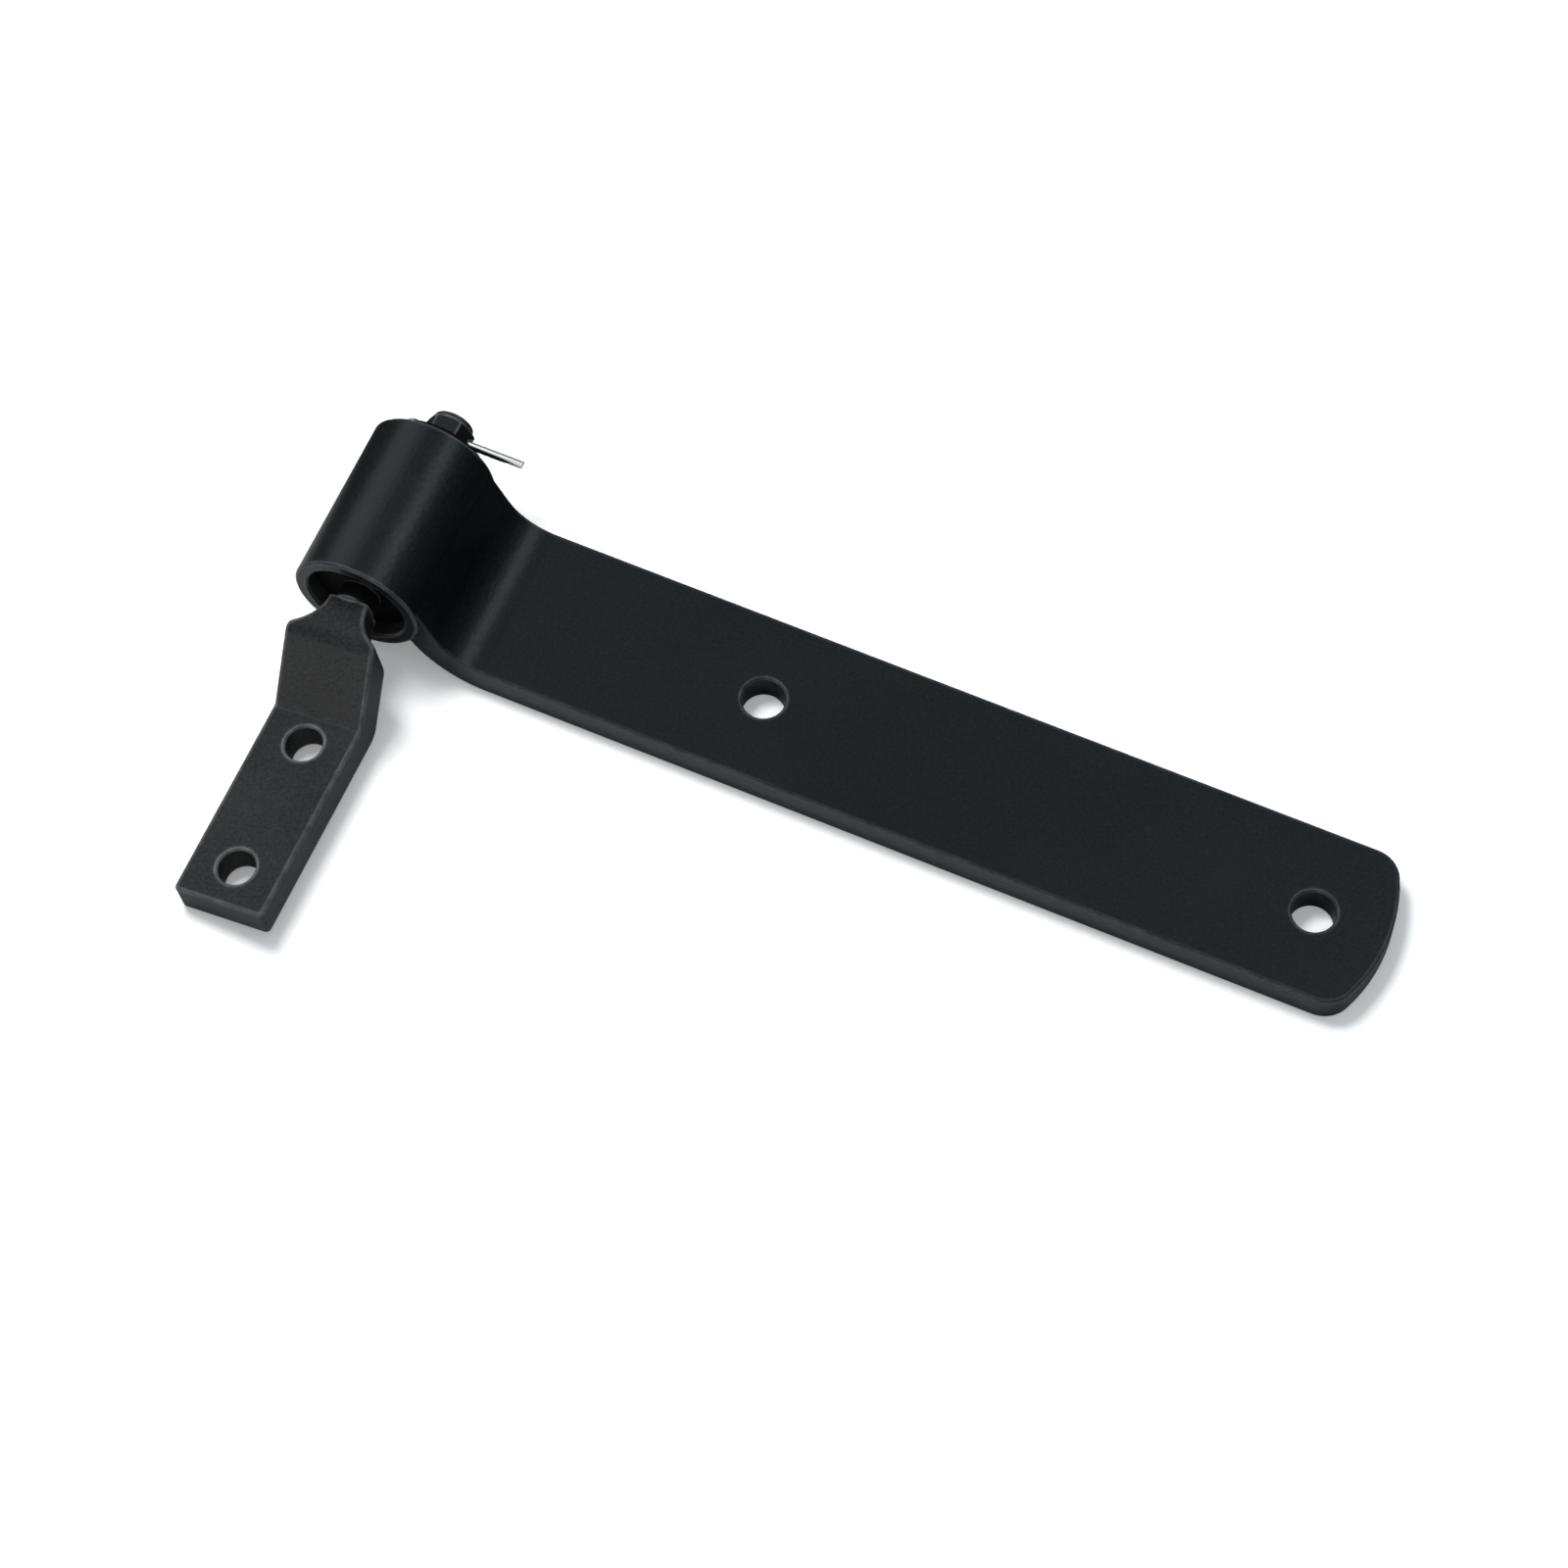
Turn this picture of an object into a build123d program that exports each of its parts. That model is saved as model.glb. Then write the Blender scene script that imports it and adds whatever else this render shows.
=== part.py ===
from build123d import *
from math import cos, hypot, radians, sin, sqrt, tan
import os

os.makedirs("parts", exist_ok=True)

# Flat bar strap, cranked at one end to carry the eye
strap_width = 50.0
strap_thickness = 10.0
strap_edge_round = 0.8
pivot_to_first_hole = 114.0
strap_hole_spacing = 166.0
last_hole_to_tip = 22.0
strap_hole_diameter = 12.5
hole_rim_chamfer = 0.5
tip_arc_radius = 50.0
tip_corner_radius = 9.0
eye_height = 25.0
slope_angle = 64.0
slope_bend_radius = 16.0
slope_inset = 0.2

# Eye tube welded to the strap
tube_diameter = 38.0
tube_wall = 4.0
tube_length = 52.0
tube_edge_chamfer = 0.6
weld_leg = 4.0
weld_length = 44.0

# Plastic bush pressed into the tube
bush_fit = 0.02
bush_recess = 4.5
bush_proud = 2.8
bush_edge_chamfer = 0.6

# Forged pintle: pin, root, neck and cranked plate in one piece
pin_diameter = 10.0
pin_running_clearance = 0.06
end_play = 0.3
root_diameter = 12.0
root_length = 5.8
plate_width = 28.0
plate_thickness = 10.0
plate_end = 120.0
plate_drop = 18.0
crank_angle = 47.0
fold_position = 57.0
outer_bend_round = 7.0
fold_round = 1.5
neck_width = 12.4
neck_arc_radius = 12.0
shoulder_round = 2.5
plate_corner_round = 1.5
plate_edge_round = 0.8
plate_hole_diameter = 11.0
plate_hole_end_margin = 12.0
plate_hole_spacing = 42.0
bracket_tilt = 9.5

# Threaded end, washer, nut and split pin
thread_diameter = 8.0
thread_clearance = 0.05
thread_beyond_nut = 1.2
thread_end_chamfer = 0.8
washer_diameter = 16.0
washer_bore = 8.4
washer_thickness = 1.6
nut_across_flats = 13.0
nut_height = 6.5
nut_chamfer_angle = 30.0
nut_collar_diameter = 12.2
nut_collar_height = 1.8
nut_collar_round = 0.7
split_pin_diameter = 2.3
split_pin_hole = 2.6
split_pin_slit = 0.12
split_pin_reach = 24.0
split_pin_leg_difference = 5.4
split_pin_eye_bore = 2.4
split_pin_eye_gap = 0.4

# Slack used only to tell faces and edges apart when selecting them
near = 0.01

# Positions that follow from the sizes
tube_radius = tube_diameter / 2
bore_radius = tube_radius - tube_wall
half_tube = tube_length / 2
half_strap = strap_width / 2
pivot_x = -(pivot_to_first_hole + strap_hole_spacing / 2)
tip_x = strap_hole_spacing / 2 + last_hole_to_tip
pivot_axis = Axis((pivot_x, 0, eye_height), (0, 1, 0))
pivot_half_plane = Plane(origin=(pivot_x, 0, eye_height), x_dir=(0, 1, 0), z_dir=(1, 0, 0))
bush_near = half_tube - bush_recess
bush_far = half_tube + bush_proud
root_shoulder = bush_near + end_play
neck_end = root_shoulder + root_length
pin_shoulder = bush_far + end_play
nut_start = pin_shoulder + washer_thickness
nut_end = nut_start + nut_height
nut_middle = (nut_start + nut_end) / 2
thread_end = nut_end + nut_collar_height + thread_beyond_nut

# Slope of the strap: its outer face passes just inside the tube's outline
normal_x = sin(radians(slope_angle))
normal_z = cos(radians(slope_angle))
slope_distance = tube_radius - slope_inset
bend_z = strap_thickness + slope_bend_radius
under_radius = slope_bend_radius + strap_thickness
bend_x = pivot_x + (slope_distance + slope_bend_radius - normal_z * (bend_z - eye_height)) / normal_x
slope_top = (pivot_x + slope_distance * normal_x, eye_height + slope_distance * normal_z)
slope_foot = (bend_x - slope_bend_radius * normal_x, bend_z - slope_bend_radius * normal_z)
under_foot = (bend_x - under_radius * normal_x, bend_z - under_radius * normal_z)
under_top = (slope_top[0] - strap_thickness * normal_x, slope_top[1] - strap_thickness * normal_z)
tip_setback = tip_arc_radius - sqrt(tip_arc_radius**2 - half_strap**2)

# Cusp where the strap's underside meets the tube
centre_gap = hypot(bend_x - pivot_x, bend_z - eye_height)
toward_x = (bend_x - pivot_x) / centre_gap
toward_z = (bend_z - eye_height) / centre_gap
along = (tube_radius**2 - under_radius**2 + centre_gap**2) / (2 * centre_gap)
aside = sqrt(tube_radius**2 - along**2)
cusp_x = pivot_x + along * toward_x + aside * toward_z
cusp_z = eye_height + along * toward_z - aside * toward_x

with BuildPart() as strap:
    with BuildSketch(Plane.XZ):
        with BuildLine():
            Polyline(under_foot, under_top, slope_top, slope_foot)
            RadiusArc(slope_foot, (bend_x, strap_thickness), -slope_bend_radius)
            Polyline((bend_x, strap_thickness), (tip_x, strap_thickness), (tip_x, 0), (bend_x, 0))
            RadiusArc((bend_x, 0), under_foot, under_radius)
        make_face()
    extrude(amount=half_strap, both=True)
    with BuildSketch():
        with BuildLine():
            corner_x = tip_x - tip_setback
            back_x = pivot_x - tube_diameter
            ThreePointArc((corner_x, -half_strap), (tip_x, 0), (corner_x, half_strap))
            Polyline(
                (corner_x, half_strap), (back_x, half_strap),
                (back_x, -half_strap), (corner_x, -half_strap))
        make_face()
        fillet(vertices().group_by(Axis.X)[-1], tip_corner_radius)
    extrude(amount=eye_height + tube_diameter, mode=Mode.INTERSECT)
    side_edges = edges().filter_by(lambda e: abs(abs(e.center().Y) - half_strap) < near)
    tip_edges = edges().filter_by(lambda e: e.center().X > corner_x - tip_corner_radius)
    long_rims = side_edges.filter_by(lambda e: e.length > strap_thickness + near)
    tip_rims = tip_edges.filter_by(lambda e: abs(e.tangent_at(0.5).Z) < near)
    fillet(list(dict.fromkeys(long_rims + tip_rims)), strap_edge_round)
    with BuildSketch(Plane.XZ):
        with Locations((pivot_x, eye_height)):
            Circle(tube_radius)
    extrude(amount=strap_width, both=True, mode=Mode.SUBTRACT)
    with GridLocations(strap_hole_spacing, 0, 2, 1):
        Hole(strap_hole_diameter / 2)
    round_edges = edges().filter_by(GeomType.CIRCLE)
    hole_rims = round_edges.filter_by(lambda e: abs(e.radius - strap_hole_diameter / 2) < near)
    chamfer(hole_rims.filter_by(lambda e: abs(e.normal().Z) > 1 - near), hole_rim_chamfer)
strap.part.label = "strap"
export_step(strap.part, "parts/strap.step")

with BuildPart() as eye_tube:
    with BuildSketch(pivot_half_plane):
        with Locations((0, bore_radius + tube_wall / 2)):
            Rectangle(tube_length, tube_wall)
        chamfer(vertices(), tube_edge_chamfer)
    revolve(axis=pivot_axis)
eye_tube.part.label = "eye_tube"
export_step(eye_tube.part, "parts/eye_tube.step")

with BuildPart() as eye_weld:
    with BuildSketch(Plane.XZ):
        with Locations((cusp_x, cusp_z)):
            Circle(weld_leg)
        with Locations((pivot_x, eye_height)):
            Circle(tube_radius, mode=Mode.SUBTRACT)
        with Locations((bend_x, bend_z)):
            Circle(under_radius, mode=Mode.SUBTRACT)
    extrude(amount=weld_length / 2, both=True)
eye_weld.part.label = "eye_weld"
export_step(eye_weld.part, "parts/eye_weld.step")

with BuildPart() as eye_bush:
    bush_bore = pin_diameter / 2 + pin_running_clearance
    bush_outside = bore_radius - bush_fit
    with BuildSketch(pivot_half_plane):
        with Locations(((bush_far - bush_near) / 2, (bush_bore + bush_outside) / 2)):
            Rectangle(bush_far + bush_near, bush_outside - bush_bore)
        chamfer(vertices(), bush_edge_chamfer)
    revolve(axis=pivot_axis)
eye_bush.part.label = "eye_bush"
export_step(eye_bush.part, "parts/eye_bush.step")

bracket_base = Plane(Location((pivot_x, 0, eye_height), (0, -bracket_tilt, 0)))
bracket_side = Plane(bracket_base.origin, x_dir=-bracket_base.y_dir, z_dir=-bracket_base.x_dir)
bracket_plan = Plane(bracket_base.origin, x_dir=-bracket_base.y_dir, z_dir=bracket_base.z_dir)
half_plate = plate_thickness / 2
crank_run = plate_drop / tan(radians(crank_angle))
bend_shift = plate_thickness * tan(radians(crank_angle / 2))
outer_bend = fold_position - crank_run
plate_top = half_plate - plate_drop
plate_bottom = -half_plate - plate_drop
top_bend = (outer_bend, half_plate)
top_fold = (fold_position, plate_top)
bottom_bend = (fold_position - bend_shift, plate_bottom)
bottom_fold = (outer_bend - bend_shift, -half_plate)
shoulder_step = (plate_width - neck_width) / 2
shoulder_position = neck_end + sqrt(neck_arc_radius**2 - (neck_arc_radius - shoulder_step)**2)
last_plate_hole = plate_end - plate_hole_end_margin
plate_hole_middle = last_plate_hole - plate_hole_spacing / 2

across_plane = Plane(origin=(pivot_x, 0, eye_height), x_dir=(1, 0, 0), z_dir=(0, 1, 0))
cross_plane = Plane(origin=(pivot_x, nut_middle, eye_height), x_dir=(0, 1, 0), z_dir=(1, 0, 0))

with BuildPart() as pintle:
    with BuildSketch(bracket_side):
        with BuildLine():
            Polyline(
                (neck_end, half_plate), top_bend, top_fold, (plate_end, plate_top),
                (plate_end, plate_bottom), bottom_bend, bottom_fold, (neck_end, -half_plate),
                close=True)
        make_face()
        for outer_corner in (top_bend, bottom_bend):
            fillet(vertices().sort_by_distance(outer_corner)[0], outer_bend_round)
        for inner_corner in (top_fold, bottom_fold):
            fillet(vertices().sort_by_distance(inner_corner)[0], fold_round)
    extrude(amount=plate_width / 2, both=True)
    with BuildSketch(bracket_plan):
        half_neck = neck_width / 2
        half_width = plate_width / 2
        with BuildLine():
            Line((neck_end, -half_neck), (neck_end, half_neck))
            RadiusArc((neck_end, half_neck), (shoulder_position, half_width), -neck_arc_radius)
            Polyline(
                (shoulder_position, half_width), (plate_end, half_width),
                (plate_end, -half_width), (shoulder_position, -half_width))
            RadiusArc((shoulder_position, -half_width), (neck_end, -half_neck), -neck_arc_radius)
        make_face()
        for side in (-half_width, half_width):
            fillet(vertices().sort_by_distance((shoulder_position, side))[0], shoulder_round)
            fillet(vertices().sort_by_distance((plate_end, side))[0], plate_corner_round)
    extrude(amount=plate_drop + plate_thickness, both=True, mode=Mode.INTERSECT)
    upright = bracket_base.z_dir
    walls = faces().filter_by(lambda f: abs(f.normal_at().dot(upright)) < near)
    side_walls = walls.filter_by(lambda f: f.center().Y < -neck_end - near)
    wall_rims = side_walls.edges().filter_by(lambda e: abs(e.tangent_at(0.5).dot(upright)) < 1 - near)
    fillet(wall_rims, plate_edge_round)
    with BuildSketch(bracket_plan):
        with Locations((plate_hole_middle, 0)):
            with GridLocations(plate_hole_spacing, 0, 2, 1):
                Circle(plate_hole_diameter / 2)
    extrude(amount=plate_drop + plate_thickness, both=True, mode=Mode.SUBTRACT)
    round_edges = edges().filter_by(GeomType.CIRCLE)
    plate_rims = round_edges.filter_by(lambda e: abs(e.radius - plate_hole_diameter / 2) < near)
    chamfer(plate_rims, hole_rim_chamfer)
    with BuildSketch(pivot_half_plane):
        pin_radius = pin_diameter / 2
        root_radius = root_diameter / 2
        thread_radius = thread_diameter / 2
        with BuildLine():
            Polyline(
                (-neck_end, 0), (-neck_end, root_radius), (-root_shoulder, root_radius),
                (-root_shoulder, pin_radius), (pin_shoulder, pin_radius), (pin_shoulder, thread_radius),
                (thread_end - thread_end_chamfer, thread_radius),
                (thread_end, thread_radius - thread_end_chamfer), (thread_end, 0), close=True)
        make_face()
    revolve(axis=pivot_axis)
    with BuildSketch(cross_plane):
        Circle(split_pin_hole / 2)
    extrude(amount=nut_across_flats, both=True, mode=Mode.SUBTRACT)
pintle.part.label = "pintle"
export_step(pintle.part, "parts/pintle.step")

with BuildPart() as washer:
    with BuildSketch(across_plane.offset(pin_shoulder)):
        Circle(washer_diameter / 2)
        Circle(washer_bore / 2, mode=Mode.SUBTRACT)
    extrude(amount=washer_thickness)
washer.part.label = "washer"
export_step(washer.part, "parts/washer.step")

with BuildPart() as nut:
    nut_corner = nut_across_flats / sqrt(3)
    nut_chamfer = (nut_corner - nut_across_flats / 2) * tan(radians(nut_chamfer_angle))
    with BuildSketch(across_plane.offset(nut_start)):
        RegularPolygon(nut_corner, 6)
    extrude(amount=nut_height)
    with BuildSketch(pivot_half_plane):
        with BuildLine():
            Polyline(
                (nut_start, 0), (nut_start, nut_across_flats / 2), (nut_start + nut_chamfer, nut_corner),
                (nut_end - nut_chamfer, nut_corner), (nut_end, nut_across_flats / 2), (nut_end, 0),
                close=True)
        make_face()
    revolve(axis=pivot_axis, mode=Mode.INTERSECT)
    with BuildSketch(across_plane.offset(nut_end)):
        Circle(nut_collar_diameter / 2)
    extrude(amount=nut_collar_height)
    fillet(edges().group_by(Axis.Y)[-1], nut_collar_round)
    with BuildSketch(across_plane.offset(nut_start)):
        Circle(thread_diameter / 2 + thread_clearance)
    extrude(amount=nut_height + nut_collar_height, mode=Mode.SUBTRACT)
    with BuildSketch(cross_plane):
        Circle(split_pin_hole / 2)
    extrude(amount=nut_across_flats, both=True, mode=Mode.SUBTRACT)
nut.part.label = "nut"
export_step(nut.part, "parts/nut.step")

# The split pin is one half-round wire: an eye, a long upper leg and a shorter lower leg
with BuildPart() as split_pin:
    wire_radius = split_pin_diameter / 2
    eye_inner = split_pin_eye_bore / 2
    eye_offset = nut_corner + split_pin_eye_gap + eye_inner + wire_radius
    with BuildSketch(cross_plane.offset(eye_inner - eye_offset)):
        Circle(wire_radius)
    extrude(amount=split_pin_reach + eye_offset - eye_inner)
    with BuildSketch(cross_plane.offset(split_pin_reach - split_pin_leg_difference)):
        with Locations((0, -wire_radius)):
            Rectangle(split_pin_diameter, split_pin_diameter)
    extrude(amount=split_pin_leg_difference, mode=Mode.SUBTRACT)
    eye_axis = Axis((pivot_x - eye_offset, nut_middle, eye_height), (0, 1, 0))
    eye_plane = Plane(origin=eye_axis.position, x_dir=(1, 0, 0), z_dir=(0, 0, 1))
    with BuildSketch(eye_plane):
        with Locations((eye_inner, 0)):
            Circle(wire_radius)
        with Locations((eye_inner / 2, 0)):
            Rectangle(eye_inner, split_pin_diameter, mode=Mode.SUBTRACT)
        with Locations((-eye_inner, 0)):
            Rectangle(eye_inner * 2, split_pin_diameter, mode=Mode.SUBTRACT)
    revolve(axis=eye_axis)
    with BuildSketch(Plane.XZ.offset(-nut_middle)):
        with Locations((pivot_x + (split_pin_reach - eye_offset) / 2, eye_height)):
            Rectangle(split_pin_reach + eye_offset, split_pin_slit)
    extrude(amount=split_pin_diameter, both=True, mode=Mode.SUBTRACT)
split_pin.part.label = "split_pin"
export_step(split_pin.part, "parts/split_pin.step")
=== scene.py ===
import math

import bpy
from mathutils import Matrix, Vector


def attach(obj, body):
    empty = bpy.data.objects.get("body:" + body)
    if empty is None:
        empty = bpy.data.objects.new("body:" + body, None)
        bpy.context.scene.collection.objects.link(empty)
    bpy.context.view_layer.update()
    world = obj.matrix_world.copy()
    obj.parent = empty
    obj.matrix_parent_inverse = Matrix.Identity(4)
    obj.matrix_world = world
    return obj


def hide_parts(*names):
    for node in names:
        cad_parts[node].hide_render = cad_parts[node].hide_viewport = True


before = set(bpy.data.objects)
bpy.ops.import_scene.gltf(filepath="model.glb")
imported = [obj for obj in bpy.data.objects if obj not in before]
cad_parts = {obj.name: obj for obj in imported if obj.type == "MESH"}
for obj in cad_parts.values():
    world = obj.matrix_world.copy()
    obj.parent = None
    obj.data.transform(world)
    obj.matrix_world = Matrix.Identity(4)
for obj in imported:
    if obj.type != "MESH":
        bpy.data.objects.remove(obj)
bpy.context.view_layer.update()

# Lengths are in metres and angles in degrees, unless a comment or a name says otherwise

# Camera, as the photograph was taken
CAMERA_AZIMUTH = 23.6075
CAMERA_ELEVATION = 62.8726
CAMERA_ROLL = 0.0567
CAMERA_DISTANCE = 1.3817
CAMERA_AIM = Vector((-0.06885, -0.01791, 0.0))
CAMERA_LENS_MM = 112.53
CAMERA_CLIP_START = 0.01
CAMERA_CLIP_END = 50.0
SENSOR_WIDTH_MM = 36.0

# Painted light and painted shade: the wall of the tube's bore, around the pin's axis, is painted
# paler, and the pin past the end of the bracket's tongue darker. The fades are how far past them
# these give way
PIVOT_X = -0.197
PIVOT_Z = 0.025
BORE_RADIUS = 0.015
BORE_FADE = (0.0001, 0.0003)
TONGUE_END_Y = -0.02758
TONGUE_FADE = 0.0001

# The strap's edges carry the painted highlight only past this span of X, because before it they
# meet the tube
STRAP_HIGHLIGHT_AFTER = (-0.178, -0.168)

# Weld bead: steps along it and across it, length of each scallop, its depth as a share of the leg,
# length of the end craters and how deep they fall, and the turn in radians by which the bead runs
# on into the steel beside it
BEAD_STEPS = 220
BEAD_COLUMNS = 14
BEAD_PITCH = 0.0018
BEAD_DEPTH = 0.09
BEAD_CRATER = 0.003
BEAD_CRATER_FALL = 0.8
BEAD_TUCK = 0.12

# Corners of the plain weld lie in its end face when they are this near its end, and on its arc when
# they are at least this share of the leg from its root
WELD_END_REACH = 1e-6
WELD_ARC_SHARE = 0.97

# Floor: white, with a painted dark reflection: glossy rays see the part of it that lies behind the
# hinge dark, which comes in over the two spans. The glow is seen by the camera only
FLOOR_HALF_SIZE = 6.0
FLOOR_DROP = 0.0002
FLOOR_COLOUR = (0.86, 0.86, 0.86)
FLOOR_PAINTED_REFLECTION = (0.06, 0.06, 0.06)
BEHIND_FROM_X = (-2.5, -0.3)
BEHIND_FROM_Y = (-0.02, 0.04)
FLOOR_GLOW = 0.24

# World: its light is low near the horizon and rises with the upward part of the direction. It is
# stronger where the coat mirrors it, and the camera sees plain white instead
WORLD_COLOUR = (0.89, 0.95, 1.0)
WORLD_LOW = 0.1
WORLD_HIGH = 0.6
WORLD_RISE = (0.3, 0.8)
WORLD_IN_GLOSS = 1.0 / WORLD_HIGH

# Lamps: direction they stand in from the studio's centre, distance, size, power and colour. The key
# throws light and shadow and is not mirrored in the coat. The others are only mirrored there
STUDIO_CENTRE = Vector((-0.03, 0.0, 0.0))
LAMPS = {
    "left_softbox": {"azimuth": 246, "elevation": 36, "distance": 1.8, "size": (1.3, 1.2),
                     "watts": 9.5, "colour": (1, 1, 1)},
    "right_softbox": {"azimuth": 140, "elevation": 57, "distance": 1.6, "size": (0.5, 0.55),
                      "watts": 4.8, "colour": (0.86, 0.95, 1.0)},
    "front_strip": {"azimuth": 350, "elevation": 8, "distance": 1.8, "size": (1.8, 0.5),
                    "watts": 27, "colour": (1, 1, 1)},
    "key": {"azimuth": 250, "elevation": 65, "distance": 1.8, "size": (0.5, 0.5),
            "watts": 24, "colour": (1, 1, 1)},
}
KEY = "key"

# Edges and corners of every material: samples of the rounded normal, the radius to which it rounds
# sharp corners, and the cosines of its lean at which an edge starts and is full
BEVEL_SAMPLES = 6
CORNER_RADIUS = 0.0002
EDGE_LEAN = (0.994, 0.955)

# Coats: size of the clouds of tone, their share in it beside the grain, the span of tone that goes
# from the dark colour to the light one, and the reach of the painted highlight along the edges
CLOUD_SIZE = 0.035
CLOUD_SHARE = 0.35
TONE_SPAN = (0.38, 0.62)
EDGE_REACH = 0.001

# Patches in the painted highlight along the edges: their size, and the span of the noise that goes
# from weak to full
HIGHLIGHT_PATCH = 0.004
HIGHLIGHT_SPAN = (0.35, 0.6)
HIGHLIGHT_STRENGTH = (0.45, 1.0)

# Span of the fine noise that goes from smooth to rough, and how far a coat's roughness then lies
# below and above its own value
GRAIN_SPAN = (0.3, 0.7)
ROUGHNESS_BELOW = 0.04
ROUGHNESS_ABOVE = 0.05

# Plastic of the bush. Its grain is a size and a height
PLASTIC_GRAIN = (0.0004, 0.00003)
PLASTIC_ROUGHNESS = (0.6, 0.72)
PLASTIC_SPECULAR_LEVEL = 0.03

# Wire of the split pin. Its lines are a size and a height, drawn out along the wire (X)
WIRE_LINES = (0.0004, 0.000015)
WIRE_STRETCH = (0.04, 1.0, 1.0)
WIRE_ROUGHNESS = (0.16, 0.3)
WIRE_CORNER_RADIUS = 0.0001


def direction(azimuth, elevation):
    """Unit vector towards a compass azimuth, with 0 on the viewer's side (-Y) and 90 on +X."""
    a = math.radians(azimuth)
    e = math.radians(elevation)
    return Vector((math.sin(a) * math.cos(e), -math.cos(a) * math.cos(e), math.sin(e)))


def make_camera():
    data = bpy.data.cameras.new("camera")
    data.lens = CAMERA_LENS_MM
    data.sensor_width = SENSOR_WIDTH_MM
    data.clip_start = CAMERA_CLIP_START
    data.clip_end = CAMERA_CLIP_END
    camera = bpy.data.objects.new("camera", data)
    bpy.context.scene.collection.objects.link(camera)
    back = direction(CAMERA_AZIMUTH, CAMERA_ELEVATION)
    turn = (-back).to_track_quat("-Z", "Y").to_matrix().to_4x4()
    roll = Matrix.Rotation(math.radians(CAMERA_ROLL), 4, "Z")
    camera.matrix_world = Matrix.Translation(CAMERA_AIM + back * CAMERA_DISTANCE) @ turn @ roll
    bpy.context.scene.camera = camera


def make_lamps():
    for name, lamp in LAMPS.items():
        data = bpy.data.lights.new(name, "AREA")
        data.shape = "RECTANGLE"
        data.size, data.size_y = lamp["size"]
        data.energy = lamp["watts"]
        data.color = lamp["colour"]
        light = bpy.data.objects.new(name, data)
        light.visible_diffuse = name == KEY
        light.visible_glossy = name != KEY
        bpy.context.scene.collection.objects.link(light)
        outward = direction(lamp["azimuth"], lamp["elevation"])
        light.location = STUDIO_CENTRE + outward * lamp["distance"]
        light.rotation_mode = "QUATERNION"
        light.rotation_quaternion = (-outward).to_track_quat("-Z", "Y")


class Nodes:
    """An emptied node tree, with short calls for its nodes.

    A value is a number or a vector, or the output of another node.
    """

    def __init__(self, tree):
        self.tree = tree
        tree.nodes.clear()

    def add(self, kind):
        return self.tree.nodes.new(kind)

    def link(self, source, target):
        self.tree.links.new(source, target)

    def feed(self, value, socket):
        if isinstance(value, bpy.types.NodeSocket):
            self.link(value, socket)
        else:
            socket.default_value = value

    def math(self, operation, first, second):
        node = self.add("ShaderNodeMath")
        node.operation = operation
        self.feed(first, node.inputs[0])
        self.feed(second, node.inputs[1])
        return node.outputs[0]

    def vector_math(self, operation, first, second):
        node = self.add("ShaderNodeVectorMath")
        node.operation = operation
        self.feed(first, node.inputs[0])
        self.feed(second, node.inputs[1])
        return node.outputs["Value" if operation == "DOT_PRODUCT" else "Vector"]

    def length(self, vector):
        node = self.add("ShaderNodeVectorMath")
        node.operation = "LENGTH"
        self.link(vector, node.inputs[0])
        return node.outputs["Value"]

    def along(self, place, axis):
        """One coordinate of a place or a direction."""
        node = self.add("ShaderNodeSeparateXYZ")
        self.link(place, node.inputs[0])
        return node.outputs[axis]

    def spread(self, value, span, new_span=(0.0, 1.0), interpolation="LINEAR"):
        """The value carried from one span to another, and held at the ends."""
        node = self.add("ShaderNodeMapRange")
        node.interpolation_type = interpolation
        node.inputs["From Min"].default_value, node.inputs["From Max"].default_value = span
        node.inputs["To Min"].default_value, node.inputs["To Max"].default_value = new_span
        self.link(value, node.inputs["Value"])
        return node.outputs["Result"]

    def blend(self, factor, first, second):
        """Colour between two colours, or between the outputs of other nodes."""
        node = self.add("ShaderNodeMix")
        node.data_type = "RGBA"
        self.link(factor, node.inputs["Factor"])
        for name, value in (("A", first), ("B", second)):
            socket = [s for s in node.inputs if s.name == name and s.type == "RGBA"][0]
            self.feed((*value, 1) if isinstance(value, tuple) else value, socket)
        return [s for s in node.outputs if s.type == "RGBA"][0]

    def background(self, colour, strength):
        node = self.add("ShaderNodeBackground")
        self.feed((*colour, 1), node.inputs["Color"])
        self.feed(strength, node.inputs["Strength"])
        return node.outputs[0]


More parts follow.
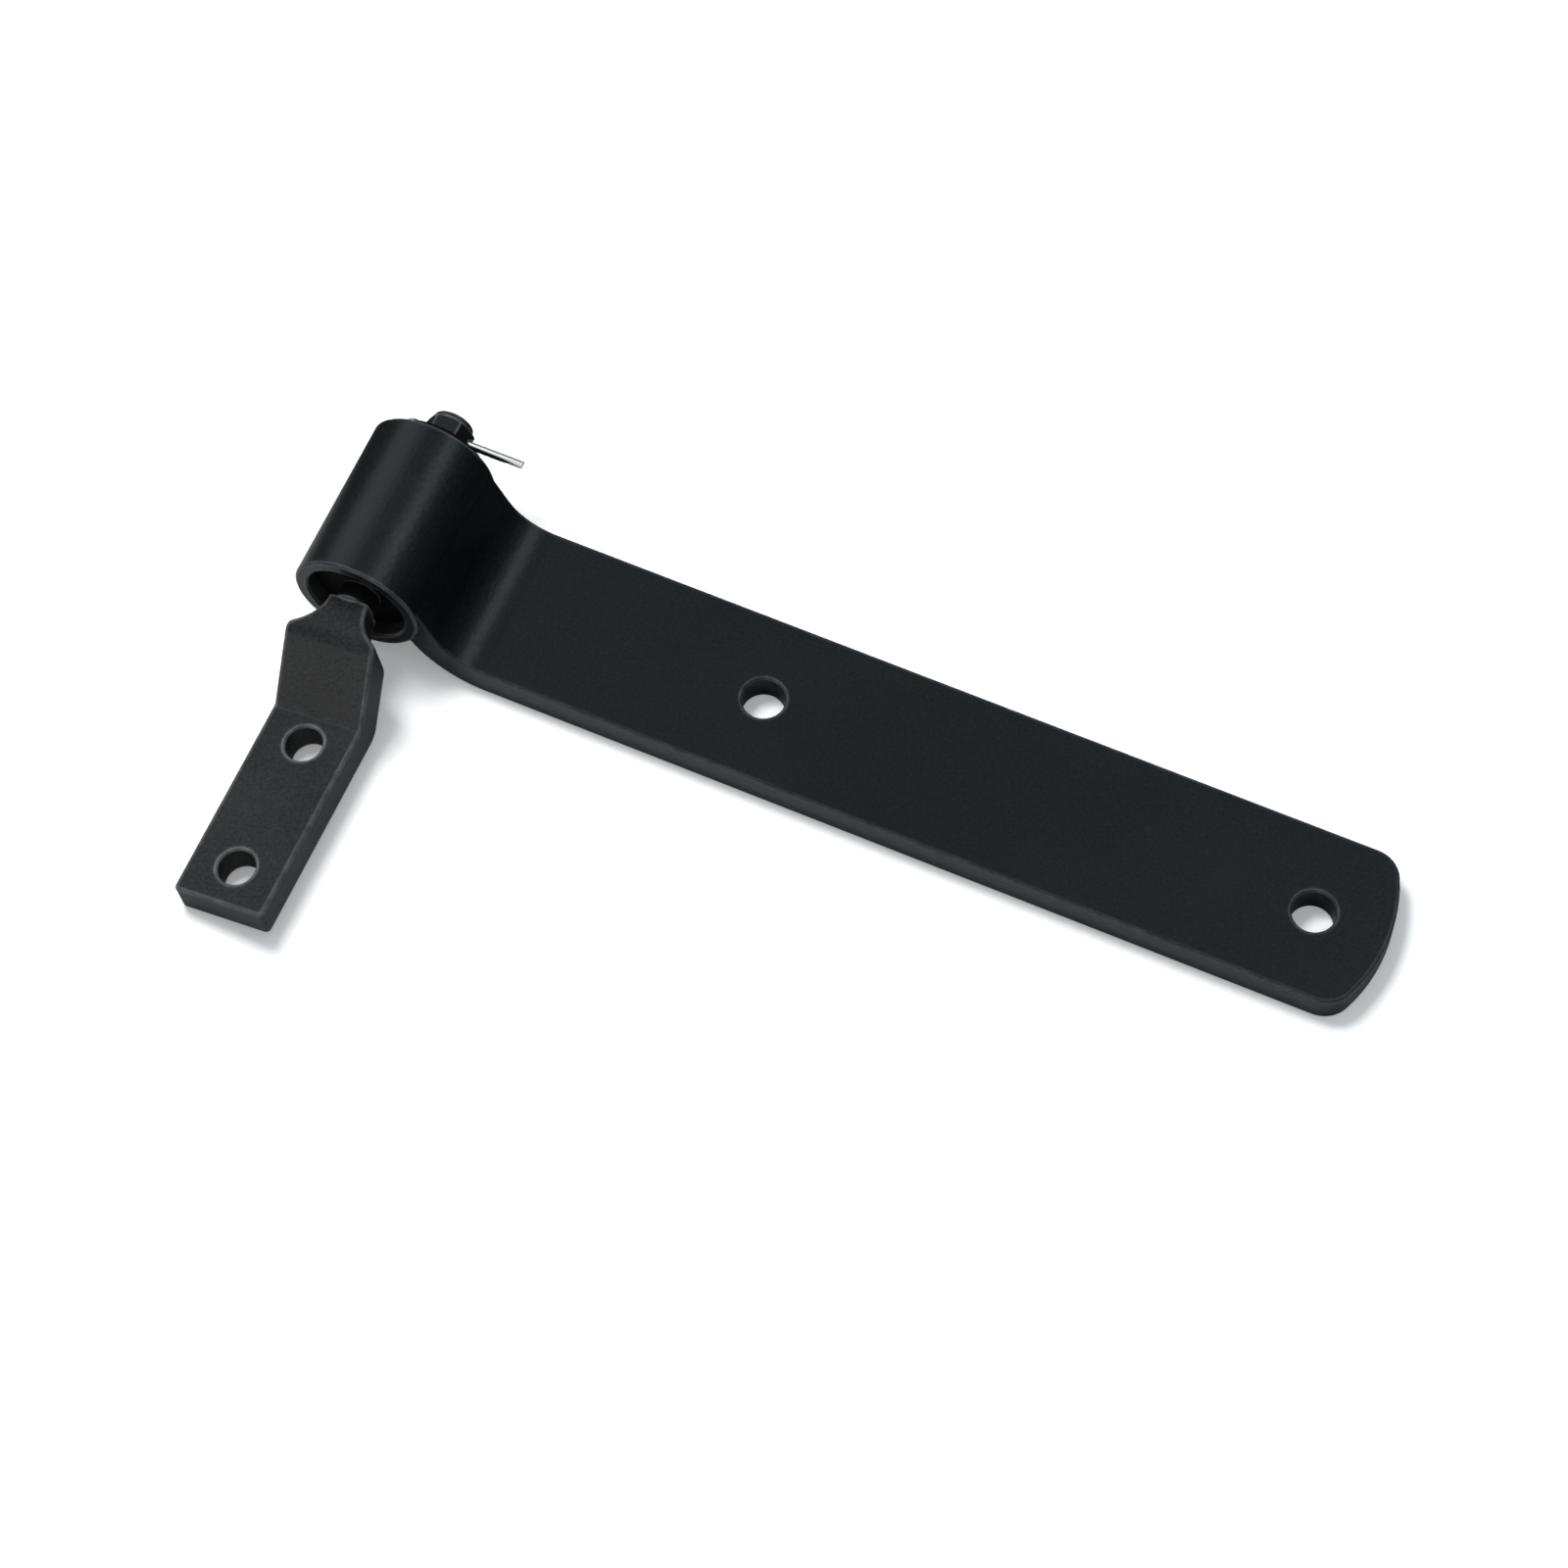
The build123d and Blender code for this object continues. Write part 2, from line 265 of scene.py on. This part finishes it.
class Surface(Nodes):
    """One Principled material, with calls for the patterns that drive it."""

    def __init__(self, name):
        self.material = bpy.data.materials.new(name)
        self.material.use_nodes = True
        super().__init__(self.material.node_tree)
        output = self.add("ShaderNodeOutputMaterial")
        self.shader = self.add("ShaderNodeBsdfPrincipled")
        self.link(self.shader.outputs["BSDF"], output.inputs["Surface"])
        self.place = self.add("ShaderNodeTexCoord").outputs["Object"]

    def stretched(self, factors):
        node = self.add("ShaderNodeMapping")
        node.inputs["Scale"].default_value = factors
        self.link(self.place, node.inputs["Vector"])
        return node.outputs["Vector"]

    def noise(self, size, detail, roughness=0.5, place=None):
        """Noise whose blobs are about size metres across."""
        node = self.add("ShaderNodeTexNoise")
        node.inputs["Scale"].default_value = 1.0 / size
        node.inputs["Detail"].default_value = detail
        node.inputs["Roughness"].default_value = roughness
        self.link(place or self.place, node.inputs["Vector"])
        return node.outputs["Fac"]

    def rises(self, axis, start, end):
        """0 before start and 1 after end along one axis of the row frame, in metres."""
        return self.spread(self.along(self.place, axis), (start, end))

    def off_axis(self, x, z):
        """Distance from a line along Y through x, z."""
        from_line = self.vector_math("SUBTRACT", self.place, (x, 0, z))
        return self.length(self.vector_math("MULTIPLY", from_line, (1, 0, 1)))

    def rounded(self, radius):
        """Normal that rounds the corners to a radius."""
        node = self.add("ShaderNodeBevel")
        node.samples = BEVEL_SAMPLES
        node.inputs["Radius"].default_value = radius
        return node.outputs["Normal"]

    def edges(self, radius):
        """1 along edges and 0 away from them, from how far a rounded normal leans."""
        true_normal = self.add("ShaderNodeNewGeometry").outputs["Normal"]
        lean = self.vector_math("DOT_PRODUCT", self.rounded(radius), true_normal)
        return self.spread(lean, EDGE_LEAN)

    def bump(self, height, distance, under=None):
        node = self.add("ShaderNodeBump")
        node.inputs["Distance"].default_value = distance
        self.link(height, node.inputs["Height"])
        if under is not None:
            self.link(under, node.inputs["Normal"])
        return node.outputs["Normal"]


def make_world():
    world = bpy.data.worlds.new("studio")
    world.use_nodes = True
    n = Nodes(world.node_tree)
    path = n.add("ShaderNodeLightPath")
    up = n.along(n.add("ShaderNodeTexCoord").outputs["Generated"], "Z")
    rise = n.spread(up, WORLD_RISE, (WORLD_LOW, WORLD_HIGH), "SMOOTHSTEP")
    gain = n.spread(path.outputs["Is Glossy Ray"], (0.0, 1.0), (1.0, WORLD_IN_GLOSS))
    light = n.background(WORLD_COLOUR, n.math("MULTIPLY", rise, gain))
    white = n.background((1, 1, 1), 1.0)
    seen = n.math("MAXIMUM", path.outputs["Is Camera Ray"], path.outputs["Is Transmission Ray"])
    mix = n.add("ShaderNodeMixShader")
    n.link(seen, mix.inputs["Fac"])
    n.link(light, mix.inputs[1])
    n.link(white, mix.inputs[2])
    output = n.add("ShaderNodeOutputWorld")
    n.link(mix.outputs[0], output.inputs["Surface"])
    bpy.context.scene.world = world


def floor_material():
    material = bpy.data.materials.new("floor_white")
    material.use_nodes = True
    n = Nodes(material.node_tree)
    path = n.add("ShaderNodeLightPath")
    place = n.add("ShaderNodeTexCoord").outputs["Object"]
    # Painted dark reflection: glossy rays see the floor behind the hinge dark
    behind = path.outputs["Is Glossy Ray"]
    for axis, span in (("X", BEHIND_FROM_X), ("Y", BEHIND_FROM_Y)):
        behind = n.math("MULTIPLY", behind, n.spread(n.along(place, axis), span))
    diffuse = n.add("ShaderNodeBsdfDiffuse")
    n.link(n.blend(behind, FLOOR_COLOUR, FLOOR_PAINTED_REFLECTION), diffuse.inputs["Color"])
    glow = n.add("ShaderNodeEmission")
    n.link(n.math("MULTIPLY", path.outputs["Is Camera Ray"], FLOOR_GLOW), glow.inputs["Strength"])
    lit = n.add("ShaderNodeAddShader")
    n.link(diffuse.outputs[0], lit.inputs[0])
    n.link(glow.outputs[0], lit.inputs[1])
    output = n.add("ShaderNodeOutputMaterial")
    n.link(lit.outputs[0], output.inputs["Surface"])
    return material


def make_floor():
    half = FLOOR_HALF_SIZE
    mesh = bpy.data.meshes.new("floor")
    corners = [(-half, -half, 0), (half, -half, 0), (half, half, 0), (-half, half, 0)]
    mesh.from_pydata(corners, [], [(0, 1, 2, 3)])
    mesh.materials.append(floor_material())
    floor = bpy.data.objects.new("floor", mesh)
    floor.location.z = -FLOOR_DROP
    bpy.context.scene.collection.objects.link(floor)


def powder_coat(name, dark, light, edge_highlight, roughness, peel, grain, specular_level,
                highlight_after=None, painted_light_and_shade=None, soften=CORNER_RADIUS, edge_reach=EDGE_REACH):
    """Sprayed and baked coat: clouds of tone, an orange-peel swell, a fine grain and a painted
    highlight along the edges.

    peel and grain are each a size and a height. worn is the colour of the painted highlight.
    highlight_after is a span of X before which the edges get no painted highlight. bare is a
    function that masks a part of the coat painted in another colour, with that colour: painted
    light in the tube's bore and painted shade on the pin. soften is the radius to which the coat
    rounds sharp corners, or 0 for none. edge_reach is how far from an edge the painted highlight
    reaches.
    """
    s = Surface(name)
    clouds = s.noise(CLOUD_SIZE, detail=3.0)
    fine = s.noise(grain[0], detail=2.0, roughness=0.6)
    tone = s.math("ADD", s.math("MULTIPLY", clouds, CLOUD_SHARE),
                  s.math("MULTIPLY", fine, 1 - CLOUD_SHARE))
    colour = s.blend(s.spread(tone, TONE_SPAN), dark, light)
    # Painted light in the tube's bore and painted shade on the pin, where a mask is given
    if painted_light_and_shade:
        mask, painted_colour = painted_light_and_shade
        colour = s.blend(mask(s), colour, painted_colour)
    # Painted highlight along the edges, broken into patches of noise
    patches = s.spread(s.noise(HIGHLIGHT_PATCH, detail=4.0), HIGHLIGHT_SPAN, HIGHLIGHT_STRENGTH)
    painted_highlight = s.math("MULTIPLY", s.edges(edge_reach), patches)
    if highlight_after:
        painted_highlight = s.math("MULTIPLY", painted_highlight, s.rises("X", *highlight_after))
    s.link(s.blend(painted_highlight, colour, edge_highlight), s.shader.inputs["Base Color"])
    roughness_span = (roughness - ROUGHNESS_BELOW, roughness + ROUGHNESS_ABOVE)
    s.link(s.spread(fine, GRAIN_SPAN, roughness_span), s.shader.inputs["Roughness"])
    corners = s.rounded(soften) if soften else None
    swell = s.bump(s.noise(peel[0], detail=1.0), peel[1], under=corners)
    s.link(s.bump(fine, grain[1], under=swell), s.shader.inputs["Normal"])
    s.shader.inputs["Specular IOR Level"].default_value = specular_level
    return s.material


def moulded_plastic(name, dark, light):
    size, height = PLASTIC_GRAIN
    s = Surface(name)
    fine = s.noise(size, detail=4.0, roughness=0.7)
    s.link(s.blend(fine, dark, light), s.shader.inputs["Base Color"])
    s.link(s.spread(fine, GRAIN_SPAN, PLASTIC_ROUGHNESS), s.shader.inputs["Roughness"])
    s.link(s.bump(fine, height, under=s.rounded(CORNER_RADIUS)), s.shader.inputs["Normal"])
    s.shader.inputs["Specular IOR Level"].default_value = PLASTIC_SPECULAR_LEVEL
    return s.material


def drawn_wire(name, colour, shade):
    """Bright plated wire, with fine lines along its length."""
    size, height = WIRE_LINES
    s = Surface(name)
    lines = s.noise(size, detail=3.0, place=s.stretched(WIRE_STRETCH))
    s.link(s.blend(lines, shade, colour), s.shader.inputs["Base Color"])
    s.link(s.spread(lines, GRAIN_SPAN, WIRE_ROUGHNESS), s.shader.inputs["Roughness"])
    s.link(s.bump(lines, height, under=s.rounded(WIRE_CORNER_RADIUS)), s.shader.inputs["Normal"])
    s.shader.inputs["Metallic"].default_value = 1.0
    return s.material


def bore_painted_light(surface):
    """The wall of the tube's bore, painted paler as painted light on it."""
    start, end = BORE_FADE
    from_axis = surface.off_axis(PIVOT_X, PIVOT_Z)
    return surface.spread(from_axis, (BORE_RADIUS + start, BORE_RADIUS + end), (1.0, 0.0))


def pin_painted_shade(surface):
    """The turned pin and its root beyond the end of the tongue, painted darker as painted shade in
    the tube's mouth.
    """
    return surface.rises("Y", TONGUE_END_Y, TONGUE_END_Y + TONGUE_FADE)


def weld_section():
    """The plain weld's root, half its length, its leg, and the turns where its arc starts and ends.

    The turns are in radians about the root, from straight down towards +X.
    """
    corners = [vertex.co.copy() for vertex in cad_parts["eye_weld"].data.vertices]
    half = max(corner.y for corner in corners)
    section = [corner for corner in corners if corner.y > half - WELD_END_REACH]
    root = max(section, key=lambda corner: corner.z)
    arms = [corner - root for corner in section]
    leg = max(arm.length for arm in arms)
    turns = [math.atan2(arm.x, -arm.z) for arm in arms if arm.length > WELD_ARC_SHARE * leg]
    return root, half, leg, min(turns), max(turns)


def make_weld_bead():
    """Weld bead under the eye: the plain weld's section, laid along Y in overlapping scallops."""
    root, half, leg, arc_start, arc_end = weld_section()
    start, end = arc_start - BEAD_TUCK, arc_end + BEAD_TUCK
    points, faces = [], []
    rows = BEAD_STEPS + 1
    for row in range(rows):
        y = half * (2 * row / BEAD_STEPS - 1)
        into_end = max(0.0, (abs(y) - half + BEAD_CRATER) / BEAD_CRATER)
        taper = math.sqrt(1 - BEAD_CRATER_FALL * into_end**2)
        points.append((root.x, y, root.z))
        for column in range(BEAD_COLUMNS + 1):
            across = column / BEAD_COLUMNS
            bow = BEAD_PITCH * (2 * across - 1)**2
            scallop = abs(math.sin(math.pi * (y + bow) / BEAD_PITCH))
            reach = leg * taper * (1 - BEAD_DEPTH + BEAD_DEPTH * scallop)
            turn = start + (end - start) * across
            points.append((root.x + reach * math.sin(turn), y, root.z - reach * math.cos(turn)))
    width = BEAD_COLUMNS + 2
    for row in range(rows - 1):
        for column in range(width):
            a = row * width + column
            b = row * width + (column + 1) % width
            faces.append((a, b, b + width, a + width))
    faces.append(tuple(reversed(range(width))))
    faces.append(tuple(range((rows - 1) * width, rows * width)))
    mesh = bpy.data.meshes.new("weld_bead")
    mesh.from_pydata(points, [], faces)
    mesh.shade_smooth()
    bead = bpy.data.objects.new("weld_bead", mesh)
    bpy.context.scene.collection.objects.link(bead)
    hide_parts("eye_weld")
    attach(bead, "strap_leaf")
    return bead


def dress(node, material):
    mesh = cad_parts[node].data
    mesh.materials.clear()
    mesh.materials.append(material)


def dress_all():
    # The pale edge colours below are painted highlights along the edges
    black = {"dark": (0.0012, 0.0022, 0.0032), "light": (0.005, 0.0066, 0.0084),
             "roughness": 0.33, "peel": (0.0014, 0.00006), "grain": (0.0009, 0.00003),
             "specular_level": 0.15}
    strap_coat = powder_coat(
        "strap_coat", **black, edge_highlight=(0.085, 0.09, 0.094), highlight_after=STRAP_HIGHLIGHT_AFTER, soften=0.0,
        edge_reach=0.0013)
    # The tube's bore gets painted light, and the bracket's pin painted shade
    tube_coat = powder_coat(
        "tube_coat", **black, edge_highlight=(0.09, 0.095, 0.1), painted_light_and_shade=(bore_painted_light, (0.035, 0.035, 0.034)))
    bracket_coat = powder_coat(
        "bracket_coat", dark=(0.006, 0.0061, 0.0063), light=(0.021, 0.0212, 0.0218),
        edge_highlight=(0.2, 0.2, 0.205), roughness=0.5, peel=(0.0012, 0.0001), grain=(0.0009, 0.00009),
        specular_level=0.15, painted_light_and_shade=(pin_painted_shade, (0.003, 0.003, 0.0032)), edge_reach=0.0015)
    hardware_coat = powder_coat(
        "hardware_coat", dark=(0.004, 0.0038, 0.005), light=(0.008, 0.0075, 0.0098),
        edge_highlight=(0.16, 0.16, 0.17), roughness=0.34, peel=(0.0012, 0.00002), grain=(0.0003, 0.00001),
        specular_level=0.15)
    bush_plastic = moulded_plastic("bush_plastic", (0.002, 0.002, 0.002), (0.005, 0.005, 0.005))
    pin_wire = drawn_wire("pin_wire", (0.88, 0.87, 0.84), (0.7, 0.69, 0.67))
    dress("strap", strap_coat)
    dress("eye_weld", strap_coat)
    bead = make_weld_bead()
    bead.data.materials.append(strap_coat)
    dress("eye_tube", tube_coat)
    dress("pintle", bracket_coat)
    dress("nut", hardware_coat)
    dress("washer", hardware_coat)
    dress("eye_bush", bush_plastic)
    dress("split_pin", pin_wire)


make_camera()
make_lamps()
make_world()
make_floor()
dress_all()

bpy.context.scene.view_settings.view_transform = "Standard"
